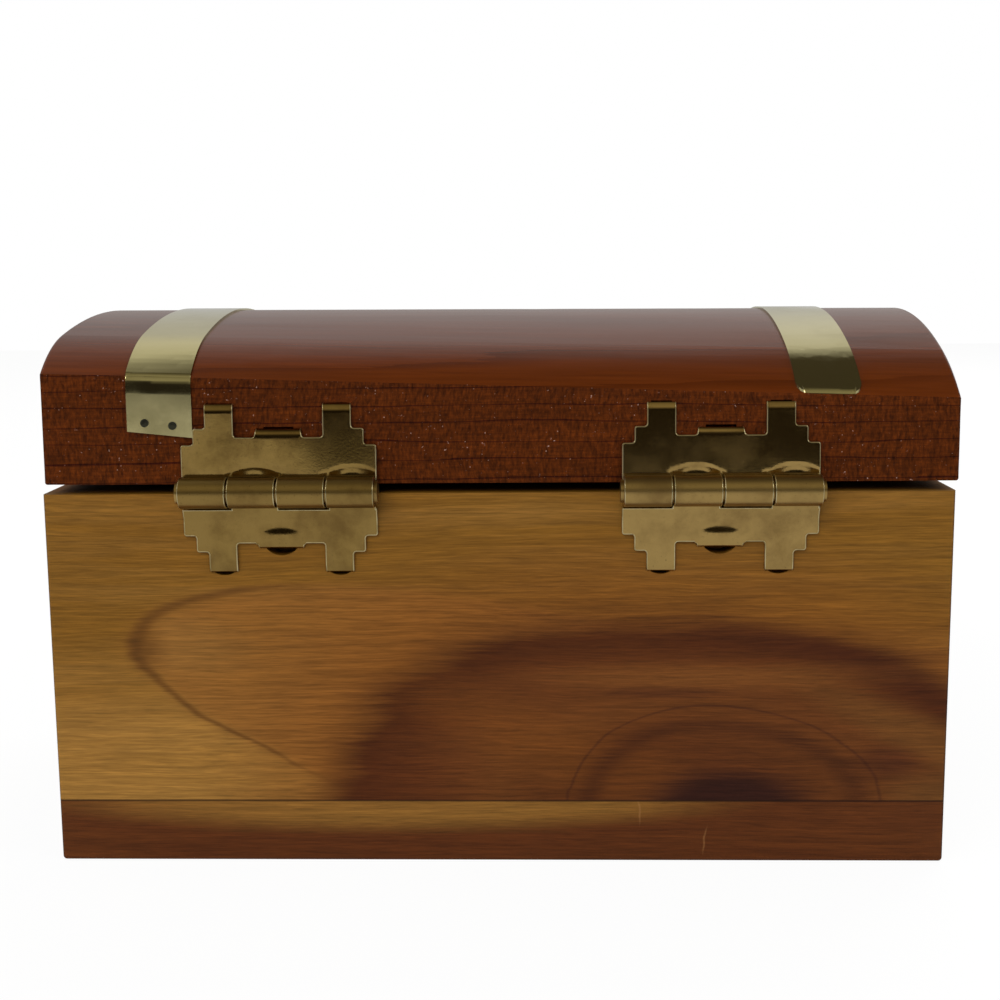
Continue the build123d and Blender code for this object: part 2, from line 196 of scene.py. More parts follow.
# %% [markdown]
# ## The table
#
# The floor is a matt white sheet. For the camera it is mostly its own white, with a little
# real shading so that the chest keeps a soft shadow. Metal sees it two thirds as bright, as
# the photo's straps and hinges show it, and brighter at both sides, which draws the bright
# rims of the stamped edges. Its edge behind the camera lies 1.5 m away, and there the dim
# room begins in the reflections.

# %% Floor
floor_size = 3.0
floor_own_white = 0.93
floor_in_metal = 0.66
sides_in_metal = 0.9
sides_from = 0.3
sides_to = 0.8


def make_piece(name, mesh, *materials):
    """Put a bmesh into the scene as an object with its materials."""
    piece = bpy.data.objects.new(name, bpy.data.meshes.new(name))
    mesh.to_mesh(piece.data)
    mesh.free()
    for material in materials:
        piece.data.materials.append(material)
    bpy.context.scene.collection.objects.link(piece)
    return piece


paper, tree = new_material("matt_white_paper")
from_camera, mirrored = ray_kinds(tree)
where = add(tree, "ShaderNodeSeparateXYZ", [add(tree, "ShaderNodeTexCoord").outputs["Object"]])
aside = add(tree, "ShaderNodeMath", [where.outputs["X"]], operation="ABSOLUTE")
brightness = [aside, sides_from, sides_to, floor_in_metal, sides_in_metal]
glow = add(tree, "ShaderNodeMapRange", brightness, **SMOOTH)
level = add(tree, "ShaderNodeMath", [mirrored, glow, from_camera], operation="MULTIPLY_ADD")
seen = add(tree, "ShaderNodeMath", [from_camera, mirrored], operation="MAXIMUM")
share = add(tree, "ShaderNodeMath", [seen, floor_own_white], operation="MULTIPLY")
matt = add(tree, "ShaderNodeBsdfDiffuse", ["#F2F2F0"])
white = add(tree, "ShaderNodeEmission", ["#FFFFFF", level])
add(tree, "ShaderNodeOutputMaterial", [add(tree, "ShaderNodeMixShader", [share, matt, white])])

floor_mesh = bmesh.new()
bmesh.ops.create_grid(floor_mesh, x_segments=1, y_segments=1, size=floor_size / 2)
floor = make_piece("floor", floor_mesh, paper)
print("floor", floor_size, "m wide")

# %% [markdown]
# ## The lamps
#
# Two big soft lamps light the wood from both sides and stay out of the metal's reflections.
# Two smaller ones at the ends do the opposite work: they are there to be seen in the metal,
# as the bright rims of its upright edges.

# %% Lamps
chest_middle = Vector((0, 0, 40))
big_lamp_size = 700
small_lamp_size = 400
end_lamp_out = 1100
end_lamp_watts = 2.5


def soft_lamp(name, place, size, watts, in_metal):
    """A square area lamp that points at the chest, its place and size in millimetres."""
    lamp = bpy.data.objects.new(name, bpy.data.lights.new(name, "AREA"))
    lamp.data.size = size * MM
    lamp.data.energy = watts
    aim = (chest_middle - Vector(place)).to_track_quat("-Z", "Y").to_matrix().to_4x4()
    lamp.matrix_world = Matrix.Translation(Vector(place) * MM) @ aim
    lamp.visible_glossy = in_metal
    bpy.context.scene.collection.objects.link(lamp)


soft_lamp("hinge_side_lamp", (350, 900, 700), big_lamp_size, watts=8.2, in_metal=False)
soft_lamp("front_side_lamp", (-400, -800, 800), big_lamp_size, watts=7.0, in_metal=False)
for side, out in (("left", -end_lamp_out), ("right", end_lamp_out)):
    soft_lamp(f"{side}_end_lamp", (out, 600, 800), small_lamp_size, end_lamp_watts, in_metal=True)

# %% [markdown]
# ## Cedar boards
#
# Eastern red cedar has a purplish red-brown heart inside pale golden sapwood, and the border
# between them is soft. On a flat-sawn board the growth rings show as long ovals and arches.
# A wave texture gives even stripes, which cedar doesn't have, so each board here has named
# ovals, given by their middle and their reach to each side. Noise stretched along the grain
# adds the fine streaks, and a slow noise bends every outline a little.

# %% Places and streaks on a board
bend_length = 60.0
bend_height = 18.0


def in_millimetres(tree, turn=None):
    """Object coordinates in millimetres, turned about the origin."""
    where = add(tree, "ShaderNodeTexCoord").outputs["Object"]
    return add(tree, "ShaderNodeMapping", [where, None, turn, (1 / MM, 1 / MM, 1 / MM)])


def board_place(tree, along, bend, seed):
    """Board coordinates in millimetres, X along the board, bent a little by slow noise."""
    place = in_millimetres(tree, (0.0, 0.0, -math.pi / 2 if along == "Y" else 0.0))
    shape = (1 / bend_length, 1 / bend_height, 1 / bend_height)
    stretched = add(tree, "ShaderNodeMapping", [place, (seed, seed, seed), None, shape])
    slow = add(tree, "ShaderNodeTexNoise", {"Vector": stretched, "Scale": 1.0, "Detail": 5.0})
    middle = (0.5, 0.5, 0.5)
    swing = add(tree, "ShaderNodeVectorMath", [slow.outputs["Color"], middle], operation="SUBTRACT")
    reach = 2 * bend
    scale = (2 * reach, reach, reach)
    return add(tree, "ShaderNodeVectorMath", [swing, scale, place], operation="MULTIPLY_ADD")


def streaks(tree, place, length, width, detail, seed=0.0):
    """Noise stretched along the grain, from about -0.5 to 0.5."""
    shape = (1 / length, 1 / width, 1 / width)
    stretched = add(tree, "ShaderNodeMapping", [place, (seed, seed, seed), None, shape])
    settings = {"Vector": stretched, "Scale": 1.0, "Detail": detail, "Roughness": 0.6}
    noise = add(tree, "ShaderNodeTexNoise", settings)
    return add(tree, "ShaderNodeMath", [noise, 0.5], operation="SUBTRACT")


print("slow bends", bend_length, "by", bend_height, "mm")

# %% Ovals
def side_share(tree, offset, reaches):
    """An offset as a share of the reach on its own side, plus side first."""
    plus = add(tree, "ShaderNodeMath", [offset, 0.0], operation="MAXIMUM")
    minus = add(tree, "ShaderNodeMath", [offset, 0.0], operation="MINIMUM")
    plus = add(tree, "ShaderNodeMath", [plus, 1 / reaches[0]], operation="MULTIPLY")
    return add(tree, "ShaderNodeMath", [minus, 1 / reaches[1], plus], operation="MULTIPLY_ADD")


def oval_level(tree, place, oval):
    """How far out a point lies in an oval: 0 at its middle and 1 on its outline.

    An oval is its middle along and up the board, its reach towards plus and minus X, its
    reach up and down, and how much it climbs over its reach towards plus X.
    """
    middle, wide, high, climb = oval
    split = add(tree, "ShaderNodeSeparateXYZ", [place])
    aside = add(tree, "ShaderNodeMath", [split.outputs["X"], middle[0]], operation="SUBTRACT")
    width = side_share(tree, aside, wide)
    lift = add(tree, "ShaderNodeMath", [width, 0.0], operation="MAXIMUM")
    lift = add(tree, "ShaderNodeMath", [lift, climb, middle[1]], operation="MULTIPLY_ADD")
    rise = add(tree, "ShaderNodeMath", [split.outputs["Z"], lift], operation="SUBTRACT")
    height = side_share(tree, rise, high)
    shares = add(tree, "ShaderNodeCombineXYZ", [width, height])
    return add(tree, "ShaderNodeVectorMath", [shares], operation="LENGTH")


print("ovals ready")

# %% Shades, stains and the end of a tree
darkest = 0.2
side_on = 0.6
head_on = 0.9


def shade(tree, colour, amount, strength):
    """A colour made lighter or darker by a signed amount."""
    gain = add(tree, "ShaderNodeMath", [amount, strength, 1.0], operation="MULTIPLY_ADD")
    gain = add(tree, "ShaderNodeMath", [gain, darkest], operation="MAXIMUM")
    return add(tree, "ShaderNodeVectorMath", {"Vector": colour, "Scale": gain}, operation="SCALE")


def faces_along(tree, axis):
    """1 where the surface faces along an axis of its own piece, and 0 where it doesn't."""
    normal = add(tree, "ShaderNodeTexCoord").outputs["Normal"]
    split = add(tree, "ShaderNodeSeparateXYZ", [normal])
    facing = add(tree, "ShaderNodeMath", [split.outputs[axis]], operation="ABSOLUTE")
    return add(tree, "ShaderNodeMapRange", [facing, side_on, head_on], **SMOOTH)


def stain(tree, wood, place, ripple, layer):
    """Wood with one more zone or ring of colour on it.

    A layer is its kind, oval, colour, strength, softness, and where along the board it
    fades in. A zone fills its oval and a ring follows the oval's outline.
    """
    kind, oval, colour, strength, softness, fade = layer
    outline = oval_level(tree, place, oval)
    level = add(tree, "ShaderNodeMath", [ripple, softness, outline], operation="MULTIPLY_ADD")
    if kind == "ring":
        offset = add(tree, "ShaderNodeMath", [level, 1.0], operation="SUBTRACT")
        level = add(tree, "ShaderNodeMath", [offset], operation="ABSOLUTE")
        cover = add(tree, "ShaderNodeMapRange", [level, softness, 0.0], **SMOOTH)
    else:
        cover = add(tree, "ShaderNodeMapRange", [level, 1 + softness, 1 - softness], **SMOOTH)
    along = add(tree, "ShaderNodeSeparateXYZ", [place]).outputs["X"]
    faded = add(tree, "ShaderNodeMapRange", [along, *fade, 0.0, strength], **SMOOTH)
    cover = add(tree, "ShaderNodeMath", [cover, faded], operation="MULTIPLY")
    return add(tree, "ShaderNodeMix", [cover, wood, colour], **COLOUR)


def finish_surface(tree, look, relief, height, strength):
    """End a tree with its look and its relief, where a relief of 1 stands height millimetres."""
    settings = {"Strength": strength, "Distance": height * MM, "Height": relief}
    look["Normal"] = add(tree, "ShaderNodeBump", settings)
    add(tree, "ShaderNodeOutputMaterial", [add(tree, "ShaderNodeBsdfPrincipled", look)])


print("facing from", side_on, "to", head_on)

# %% [markdown]
# ## How one board is coloured
#
# Each layer is one sentence about the wood. Sapwood runs from pale to darker gold. The heart
# is darkest just inside its edge, with softer shades towards the middle. Zones and rings of
# other colours go below or above it. Three sizes of streak follow, for the growth rings, the
# grain and single fibres. End grain drinks the oil and goes darker, and a thin dark line
# marks the joint where the walls stand on the bottom board. A streak is its length and its
# width in millimetres, and its detail.

# %% Sapwood, heart and joint
sapwood_golds = ("#855F29", "#674512")
gold_from = 12.0
gold_to = 38.0
gold_change = 1.8
heart_shades = [
    (0.0, "#50290C"),
    (0.2, "#4A240A"),
    (0.34, "#4E280B"),
    (0.5, "#58300F"),
    (0.68, "#522B0D"),
    (0.82, "#482308"),
    (0.93, "#3E1C05"),
    (1.0, "#4A270A"),
]
heart_border = (1.14, 0.9)
heart_waver = 0.22
heart_fringe = 0.08
blush_end = 1.55
blush_share = 0.6
joint_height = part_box("bottom_board")[1][2] / MM
joint_reach = 0.25
joint_core = 0.05
joint_share = 0.75


def sapwood(tree, place, broad):
    """Sapwood, pale gold low on the board and darker above."""
    height = add(tree, "ShaderNodeSeparateXYZ", [place]).outputs["Z"]
    gold = add(tree, "ShaderNodeMapRange", [height, gold_from, gold_to], **SMOOTH)
    gold = add(tree, "ShaderNodeMath", [broad, gold_change, gold], operation="MULTIPLY_ADD")
    return add(tree, "ShaderNodeMix", [gold, *sapwood_golds], **COLOUR)


def with_heart(tree, wood, place, heart, broad, fine):
    """Wood with its heart, and with a blush in the sapwood round it."""
    level = oval_level(tree, place, heart)
    level = add(tree, "ShaderNodeMath", [broad, heart_waver, level], operation="MULTIPLY_ADD")
    level = add(tree, "ShaderNodeMath", [fine, heart_fringe, level], operation="MULTIPLY_ADD")
    heartwood = add(tree, "ShaderNodeValToRGB", [level])
    set_stops(heartwood, heart_shades)
    blush = add(tree, "ShaderNodeMapRange", [level, blush_end, 1.0, 0.0, blush_share], **SMOOTH)
    wood = add(tree, "ShaderNodeMix", [blush, wood, "#66390F"], **COLOUR)
    in_heart = add(tree, "ShaderNodeMapRange", [level, *heart_border], **SMOOTH)
    return add(tree, "ShaderNodeMix", [in_heart, wood, heartwood], **COLOUR)


def with_joint_line(tree, wood):
    """Wood with a thin dark line along the joint between the walls and the bottom board."""
    height = add(tree, "ShaderNodeSeparateXYZ", [in_millimetres(tree)]).outputs["Z"]
    offset = add(tree, "ShaderNodeMath", [height, joint_height], operation="SUBTRACT")
    offset = add(tree, "ShaderNodeMath", [offset], operation="ABSOLUTE")
    cover = add(tree, "ShaderNodeMapRange", [offset, joint_reach, joint_core, 0.0, joint_share], **SMOOTH)
    return add(tree, "ShaderNodeMix", [cover, wood, "#1E0D04"], **COLOUR)


print("heart shades", len(heart_shades))
print("joint at", round(joint_height, 3), "mm")

# %% Cedar board material
board_bend = 1.6
growth_streak = (85.0, 5.0, 3.0)
grain_streak = (24.0, 0.5, 5.0)
fibre_streak = (5.0, 0.22, 3.0)
streak_strengths = (0.35, 1.0, 1.1)
wood_index = 1.5
board_roughness = 0.65
board_gloss = 0.12
grain_height = 0.06
grain_strength = 0.35
grain_against_fibre = 0.6


def cedar_board(name, along, heart, below=(), above=(), seed=0.0):
    """Planed eastern red cedar, rubbed with oil.

    It gives the eye a golden or red-brown face with fine streaks and hardly any shine.
    """
    material, tree = new_material(name)
    place = board_place(tree, along, board_bend, seed)
    broad = streaks(tree, place, *growth_streak, seed)
    fine = streaks(tree, place, *grain_streak, seed)
    fibre = streaks(tree, place, *fibre_streak, seed)

    wood = sapwood(tree, place, broad)
    for layer in below:
        wood = stain(tree, wood, place, fine, layer)
    wood = with_heart(tree, wood, place, heart, broad, fine)
    for layer in above:
        wood = stain(tree, wood, place, fine, layer)
    for streak, strength in zip((broad, fine, fibre), streak_strengths):
        wood = shade(tree, wood, streak, strength)
    end_grain = faces_along(tree, along)
    wood = add(tree, "ShaderNodeMix", [end_grain, wood, "#8C6A50"], blend_type="MULTIPLY", **COLOUR)
    wood = with_joint_line(tree, wood)

    relief = add(tree, "ShaderNodeMath", [fine, grain_against_fibre, fibre], operation="MULTIPLY_ADD")
    look = {"Base Color": wood, "Roughness": board_roughness, "IOR": wood_index}
    look["Specular IOR Level"] = board_gloss
    finish_surface(tree, look, relief, grain_height, grain_strength)
    return material


print("streaks", growth_streak, grain_streak, fibre_streak)

# %% [markdown]
# ## The five boards of the body
#
# The back board is the one that the photo shows. Its heart is a wide oval low on the board
# and right of the middle, with a purple-black eye and one thin ring round the eye. Far to
# the left a single dark ring closes in a sideways V, and its upper arm fades out over the
# heart. The other boards use the same recipe with their ovals elsewhere, as boards from one
# log would.

# %% Back board
everywhere = (-1000.0, -999.0)
v_ring = ((-33.5, 9.7), (87.2, 400.0), (23.0, 17.0), 23.2)
v_tip = ((52.6, 33.0), (2.0, 2.6), (2.6, 3.0), 0.0)
v_inside = ((48.0, 33.6), (3.2, 8.0), (4.2, 4.2), 0.0)
eye_ring = ((-31.5, 9.7), (20.6, 25.0), (14.7, 14.7), 0.0)
back_heart = ((-25.0, 9.7), (48.0, 56.0), (27.8, 27.8), 4.0)
heart_edge = ((-25.0, 9.7), (48.0, 52.0), (25.8, 25.8), 4.0)
crescent = ((-31.5, 9.7), (17.5, 21.5), (11.6, 11.6), 0.0)
eye = ((-34.1, 9.7), (10.5, 10.5), (4.6, 4.6), 0.0)
light_sweep = ((-20.0, 13.0), (30.0, 8.0), (5.0, 5.0), 12.0)
light_band = ((-30.0, 28.8), (22.0, 22.0), (1.8, 1.8), 0.0)
dark_streak = ((-24.5, 26.3), (9.0, 9.0), (0.8, 0.8), 0.0)
left_shade = ((15.0, 11.0), (9.0, 10.0), (6.0, 6.0), 0.0)
right_sweep = ((-67.0, 18.0), (19.0, 6.0), (3.4, 3.4), 8.5)
right_blotch = ((-57.0, 15.5), (4.5, 4.5), (2.4, 2.4), 0.0)
right_corner = ((-67.0, 10.0), (9.0, 9.0), (4.0, 4.0), 0.0)
back_cedar = cedar_board(
    "planed_red_cedar_back",
    "X",
    back_heart,
    below=[
        ("zone", v_ring, "#764B1C", 0.7, 0.05, everywhere),
        ("zone", v_inside, "#7E5E2E", 0.25, 0.8, everywhere),
    ],
    above=[
        ("ring", v_ring, "#4A2C0E", 0.65, 0.022, (18.0, 40.0)),
        ("zone", v_tip, "#4A2C0E", 0.5, 0.8, everywhere),
        ("ring", heart_edge, "#3C1A06", 0.8, 0.12, (-5.0, -45.0)),
        ("zone", light_sweep, "#66390F", 0.5, 0.7, everywhere),
        ("zone", left_shade, "#4A2209", 0.5, 0.7, everywhere),
        ("zone", light_band, "#6A3F17", 0.6, 0.8, everywhere),
        ("zone", dark_streak, "#3A1A0A", 0.5, 0.8, everywhere),
        ("zone", right_sweep, "#5E3A15", 0.7, 0.6, everywhere),
        ("zone", right_blotch, "#3A190A", 0.6, 0.7, everywhere),
        ("zone", right_corner, "#563614", 0.7, 0.6, everywhere),
        ("zone", eye_ring, "#4C260A", 0.5, 0.12, everywhere),
        ("ring", crescent, "#331606", 0.5, 0.16, everywhere),
        ("ring", eye_ring, "#35180A", 0.5, 0.02, everywhere),
        ("zone", eye, "#2A120A", 1.0, 0.45, everywhere),
    ],
)
print("back board", back_cedar.name)

# %% The other boards
front_heart = ((22.0, 36.0), (48.0, 70.0), (17.0, 17.0), -5.0)
front_ring = ((20.0, 36.0), (62.0, 95.0), (22.0, 22.0), -6.0)
left_end_heart = ((5.0, 18.0), (60.0, 60.0), (12.0, 12.0), 6.0)
right_end_heart = ((-20.0, 52.0), (50.0, 60.0), (20.0, 20.0), 0.0)
all_heart = ((0.0, -40.0), (400.0, 400.0), (230.0, 230.0), 0.0)
sap_strip = ((12.0, 9.7), (47.0, 41.0), (40.0, 4.5), 0.0)
long_scratch = ((-20.4, 7.7), (0.15, 0.15), (2.0, 2.0), 0.0)
low_scratch = ((-30.6, 3.2), (0.15, 0.15), (1.8, 1.8), 0.0)
dark_front_ring = ("ring", front_ring, "#4A2C0E", 0.9, 0.02, everywhere)
bottom_marks = [
    ("zone", sap_strip, "#74501F", 0.9, 0.35, everywhere),
    ("zone", long_scratch, "#8C6238", 0.3, 0.5, everywhere),
    ("zone", low_scratch, "#8C6238", 0.3, 0.5, everywhere),
]
front_cedar = cedar_board(
    "planed_red_cedar_front", "X", front_heart, above=[dark_front_ring], seed=31.0
)
left_end_cedar = cedar_board("planed_red_cedar_left_end", "Y", left_end_heart, seed=57.0)
right_end_cedar = cedar_board("planed_red_cedar_right_end", "Y", right_end_heart, seed=83.0)
bottom_cedar = cedar_board("planed_red_cedar_bottom", "X", all_heart, above=bottom_marks, seed=11.0)
print("cedar boards", [material.name for material in bpy.data.materials if "cedar" in material.name])

# %% [markdown]
# ## The lid's varnish
#
# The lid is one thick plank. Its top was sanded and varnished, so it shines and shows a deep
# orange brown, but its upright edges were only stained and stayed rough from the saw. One
# material does both: it looks at which way the surface faces in the lid's own frame, which
# doesn't change when the lid opens. The rings are flat ovals about a line below the lid, so
# they run as lines along the plank and as arcs across its ends.

# %% Wood of the lid
pith_height = 30.0
ring_spacing = 2.1
ring_flatness = 0.6
ring_waver = 0.25
late_wood_part = (0.75, 0.98)
thin_line_part = (0.9, 0.99)
speck_spacing = 1 / 2.4
speck_border = (0.69, 0.76)
varnish_strengths = (0.7, 0.8)
stain_strengths = (0.8, 0.8, 1.0, 2.6)


def ring_part(tree, place, broad, fine):
    """How far through its growth ring the wood is, from 0 to 1."""
    split = add(tree, "ShaderNodeSeparateXYZ", [place])
    depth = add(tree, "ShaderNodeMath", [split.outputs["Y"], ring_flatness], operation="MULTIPLY")
    rise = add(tree, "ShaderNodeMath", [split.outputs["Z"], pith_height], operation="SUBTRACT")
    across = add(tree, "ShaderNodeCombineXYZ", [None, depth, rise])
    radius = add(tree, "ShaderNodeVectorMath", [across], operation="LENGTH")
    turns = add(tree, "ShaderNodeMath", [radius, 1 / ring_spacing, broad], operation="MULTIPLY_ADD")
    turns = add(tree, "ShaderNodeMath", [fine, ring_waver, turns], operation="MULTIPLY_ADD")
    return add(tree, "ShaderNodeMath", [turns], operation="FRACT")


def varnished_wood(tree, ring, broad, fine):
    """Orange brown under varnish, where the late wood is hardly darker."""
    late_wood = add(tree, "ShaderNodeMapRange", [ring, *late_wood_part], **SMOOTH)
    wood = add(tree, "ShaderNodeMix", [late_wood, "#4D2004", "#431A02"], **COLOUR)
    for streak, strength in zip((broad, fine), varnish_strengths):
        wood = shade(tree, wood, streak, strength)
    return wood


def stained_wood(tree, place, ring, broad, fine, fibre, saw_marks):
    """Red-brown stain on rough wood, with thin dark ring lines and pale specks."""
    thin_line = add(tree, "ShaderNodeMapRange", [ring, *thin_line_part], **SMOOTH)
    wood = add(tree, "ShaderNodeMix", [thin_line, "#411B04", "#260802"], **COLOUR)
    for streak, strength in zip((broad, fine, fibre, saw_marks), stain_strengths):
        wood = shade(tree, wood, streak, strength)
    settings = {"Vector": place, "Scale": 1 / speck_spacing, "Detail": 3.0}
    specks = add(tree, "ShaderNodeTexNoise", settings)
    pale_speck = add(tree, "ShaderNodeMapRange", [specks, *speck_border], **SMOOTH)
    return add(tree, "ShaderNodeMix", [pale_speck, wood, "#96766A"], **COLOUR)


print("rings", ring_spacing, "mm apart")

# %% Lid material
lid_bend = 0.8
lid_seed = 5.0
lid_growth_streak = (80.0, 5.0, 3.0)
lid_grain_streak = (26.0, 0.6, 5.0)
lid_fibre_streak = (3.0, 0.3, 3.0)
saw_mark = (0.4, 1.1, 4.0)
varnish_border = (0.25, 0.6)
border_waver = 0.3
sawn_roughness, varnish_roughness = 0.72, 0.24
sawn_gloss, varnish_gloss = 0.05, 0.16
saw_against_fibre = 1.5
sanded_relief = 0.6
lid_relief_height = 0.2
lid_relief_strength = 0.5


def lid_cedar():
    """Stained red cedar, varnished on the barrel top and saw rough on its upright edges.

    It gives the eye a glassy orange-brown top over straight rings, and a dull dark edge.
    """
    material, tree = new_material("stained_red_cedar_lid")
    place = board_place(tree, "X", lid_bend, lid_seed)
    broad = streaks(tree, place, *lid_growth_streak)
    fine = streaks(tree, place, *lid_grain_streak)
    fibre = streaks(tree, place, *lid_fibre_streak)
    saw_marks = streaks(tree, place, *saw_mark)
    ring = ring_part(tree, place, broad, fine)
    varnished = varnished_wood(tree, ring, broad, fine)
    stained = stained_wood(tree, place, ring, broad, fine, fibre, saw_marks)

    normal = add(tree, "ShaderNodeSeparateXYZ", [add(tree, "ShaderNodeTexCoord").outputs["Normal"]])
    upward = [fibre, border_waver, normal.outputs["Z"]]
    tilt = add(tree, "ShaderNodeMath", upward, operation="MULTIPLY_ADD")
    top = add(tree, "ShaderNodeMapRange", [tilt, *varnish_border], **SMOOTH)
    wood = add(tree, "ShaderNodeMix", [top, stained, varnished], **COLOUR)
    sawn = add(tree, "ShaderNodeMath", [saw_marks, saw_against_fibre, fibre], operation="MULTIPLY_ADD")
    sanded = add(tree, "ShaderNodeMath", [broad, sanded_relief], operation="MULTIPLY")
    relief = add(tree, "ShaderNodeMix", [top, sawn, sanded])
    from_sawn = [top, varnish_roughness - sawn_roughness, sawn_roughness]
    roughness = add(tree, "ShaderNodeMath", from_sawn, operation="MULTIPLY_ADD")
    from_dull = [top, varnish_gloss - sawn_gloss, sawn_gloss]
    gloss = add(tree, "ShaderNodeMath", from_dull, operation="MULTIPLY_ADD")
    look = {"Base Color": wood, "Roughness": roughness, "IOR": wood_index}
    look["Specular IOR Level"] = gloss
    finish_surface(tree, look, relief, lid_relief_height, lid_relief_strength)
    return material


lid_wood = lid_cedar()
print("lid material", lid_wood.name)

# %% [markdown]
# ## Plated metal
#
# The hinges and the hasp are thin steel with a brass plating that has gone dull and brown in
# places. The straps' plating is paler and hardly tarnished. Both are full metals, so their
# colour is the colour of their reflection. Patches of tarnish change the colour and the
# roughness together, and a fine pitting breaks up the highlights. Where a strap turns down
# over the edge of the lid it is still a little curved, so its first 2.6 mm mirror the dark
# room. The edge isn't level: it is 72.07 mm up at the middle of the chest, and it rises by
# 4.3 mm from one end of the lid to the other.

# %% Relief of sheet metal
edge_middle_height = 72.07
edge_rise = 4.3
back_low, back_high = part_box("back_panel")
edge_climb = edge_rise * MM / (back_high[0] - back_low[0])
curved_height = 2.6
swell_size = 11.0
pit_size = 1 / 3.2
pit_depth = 0.008


def turned_down(tree, place):
    """Square of the height above the foot of a strap's curved end, which rounds the end off."""
    split = add(tree, "ShaderNodeSeparateXYZ", [place])
    foot = edge_middle_height - curved_height
    level = add(tree, "ShaderNodeMath", [split.outputs["X"], edge_climb, foot], operation="MULTIPLY_ADD")
    above = add(tree, "ShaderNodeMath", [split.outputs["Z"], level], operation="SUBTRACT")
    above = add(tree, "ShaderNodeMath", [above, 0.0], operation="MAXIMUM")
    above = add(tree, "ShaderNodeMath", [above, curved_height], operation="MINIMUM")
    return add(tree, "ShaderNodeMath", [above, 2.0], operation="POWER")


def sheet_relief(tree, place, pits, pit_share, wave, curve):
    """The sheet's relief in millimetres: its pits, its slow swell and its turned end."""
    settings = {"Vector": place, "Scale": 1 / swell_size, "Detail": 1.0}
    swell = add(tree, "ShaderNodeTexNoise", settings)
    relief = add(tree, "ShaderNodeMath", [pits, pit_depth * pit_share], operation="MULTIPLY")
    relief = add(tree, "ShaderNodeMath", [swell, wave, relief], operation="MULTIPLY_ADD")
    if curve:
        fallen = turned_down(tree, place)
        relief = add(tree, "ShaderNodeMath", [fallen, -curve, relief], operation="MULTIPLY_ADD")
    return relief


print("lid edge climbs", round(edge_climb, 4))

# %% Plated metal material
pin_low, pin_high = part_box("left_hinge_pin")
pin_height = (pin_low[2] + pin_high[2]) / 2 / MM
scuff_border = (2.5, 2.1)
worn_border = (0.4, 0.7)
pit_border = (0.6, 0.72)
worn_roughness = 0.1
pit_roughness = 0.3


def knuckle_scuff(tree, place, scuff):
    """Roughness that the sheet has only close round the pins."""
    height = add(tree, "ShaderNodeSeparateXYZ", [place]).outputs["Z"]
    from_pin = add(tree, "ShaderNodeMath", [height, pin_height], operation="SUBTRACT")
    from_pin = add(tree, "ShaderNodeMath", [from_pin], operation="ABSOLUTE")
    return add(tree, "ShaderNodeMapRange", [from_pin, *scuff_border, 0.0, scuff], **SMOOTH)


def plated_brass(name, colours, polish, patch, pit_share, wave=0.0, curve=0.0, scuff=0.0):
    """Brass plating on stamped steel sheet.

    It gives the eye pale gold highlights beside brown or dark reflections. The colours are
    bright, dull and tarnished. polish is the roughness where it is clean, patch the size of
    the dull patches in millimetres, wave how many millimetres the sheet swells, curve how
    round its turned end is, and scuff how much rougher it is on the knuckles.
    """
    bright, dull, tarnish = colours
    material, tree = new_material(name)
    place = in_millimetres(tree)
    settings = {"Vector": place, "Scale": 1 / patch, "Detail": 5.0, "Roughness": 0.6}
    patches = add(tree, "ShaderNodeTexNoise", settings)
    settings = {"Vector": place, "Scale": 1 / pit_size, "Detail": 3.0, "Roughness": 0.7}
    pits = add(tree, "ShaderNodeTexNoise", settings)
    worn = add(tree, "ShaderNodeMapRange", [patches, *worn_border], **SMOOTH)
    pitted = add(tree, "ShaderNodeMapRange", [pits, *pit_border, 0.0, pit_share], **SMOOTH)
    colour = add(tree, "ShaderNodeMix", [worn, bright, dull], **COLOUR)
    colour = add(tree, "ShaderNodeMix", [pitted, colour, tarnish], **COLOUR)
    rough = add(tree, "ShaderNodeMath", [worn, worn_roughness, polish], operation="MULTIPLY_ADD")
    rough = add(tree, "ShaderNodeMath", [pitted, pit_roughness, rough], operation="MULTIPLY_ADD")
    rough = add(tree, "ShaderNodeMath", [rough, knuckle_scuff(tree, place, scuff)], operation="ADD")
    relief = sheet_relief(tree, place, pits, pit_share, wave, curve)
    look = {"Base Color": colour, "Metallic": 1.0, "Roughness": rough}
    finish_surface(tree, look, relief, height=1.0, strength=1.0)
    return material


print("pins at", round(pin_height, 3), "mm")

# %% The metals
hinge_surface = {"polish": 0.09, "patch": 8.0, "pit_share": 0.4, "wave": 0.07, "scuff": 0.24}
strap_surface = {"polish": 0.09, "patch": 12.0, "pit_share": 0.1, "wave": 0.05, "curve": 0.036}
dull_brass = ("#A98C54", "#8C7142", "#4A3A1C")
# The right hinge gets darker colours than the left all over.
darker_brass = ("#957A44", "#785E32", "#4A3A1C")
# The pale edge colours are a painted highlight for the rims of cut edges, as well as bare worn plating.
rim_highlight_and_wear_brass = ("#CDBF94", "#AC9D6E", "#8A7A50")
pale_brass = ("#BCB180", "#B2A776", "#7A6C48")
washed_wire = ("#B0A68A", "#8C8264", "#4A4228")
# The nails' near-black colour is partly dark oxidised steel and partly painted shade, for the dimples
# that the heads sit sunk in.
dark_steel_with_painted_shade = ("#4A4A3C", "#2E2E26", "#1C1A14")
hinge_metal = plated_brass("brass_plated_steel_dull", dull_brass, **hinge_surface)
darker_hinge_metal = plated_brass("brass_plated_steel_darker", darker_brass, **hinge_surface)
rim_highlight_and_wear_metal = plated_brass(
    "brass_plated_steel_rim_highlight_and_wear", rim_highlight_and_wear_brass, polish=0.3, patch=3.0, pit_share=0.3
)
strap_metal = plated_brass("brass_plated_strip_bright", pale_brass, **strap_surface)
wire_metal = plated_brass("brass_washed_steel_wire", washed_wire, polish=0.25, patch=2.0, pit_share=0.3)
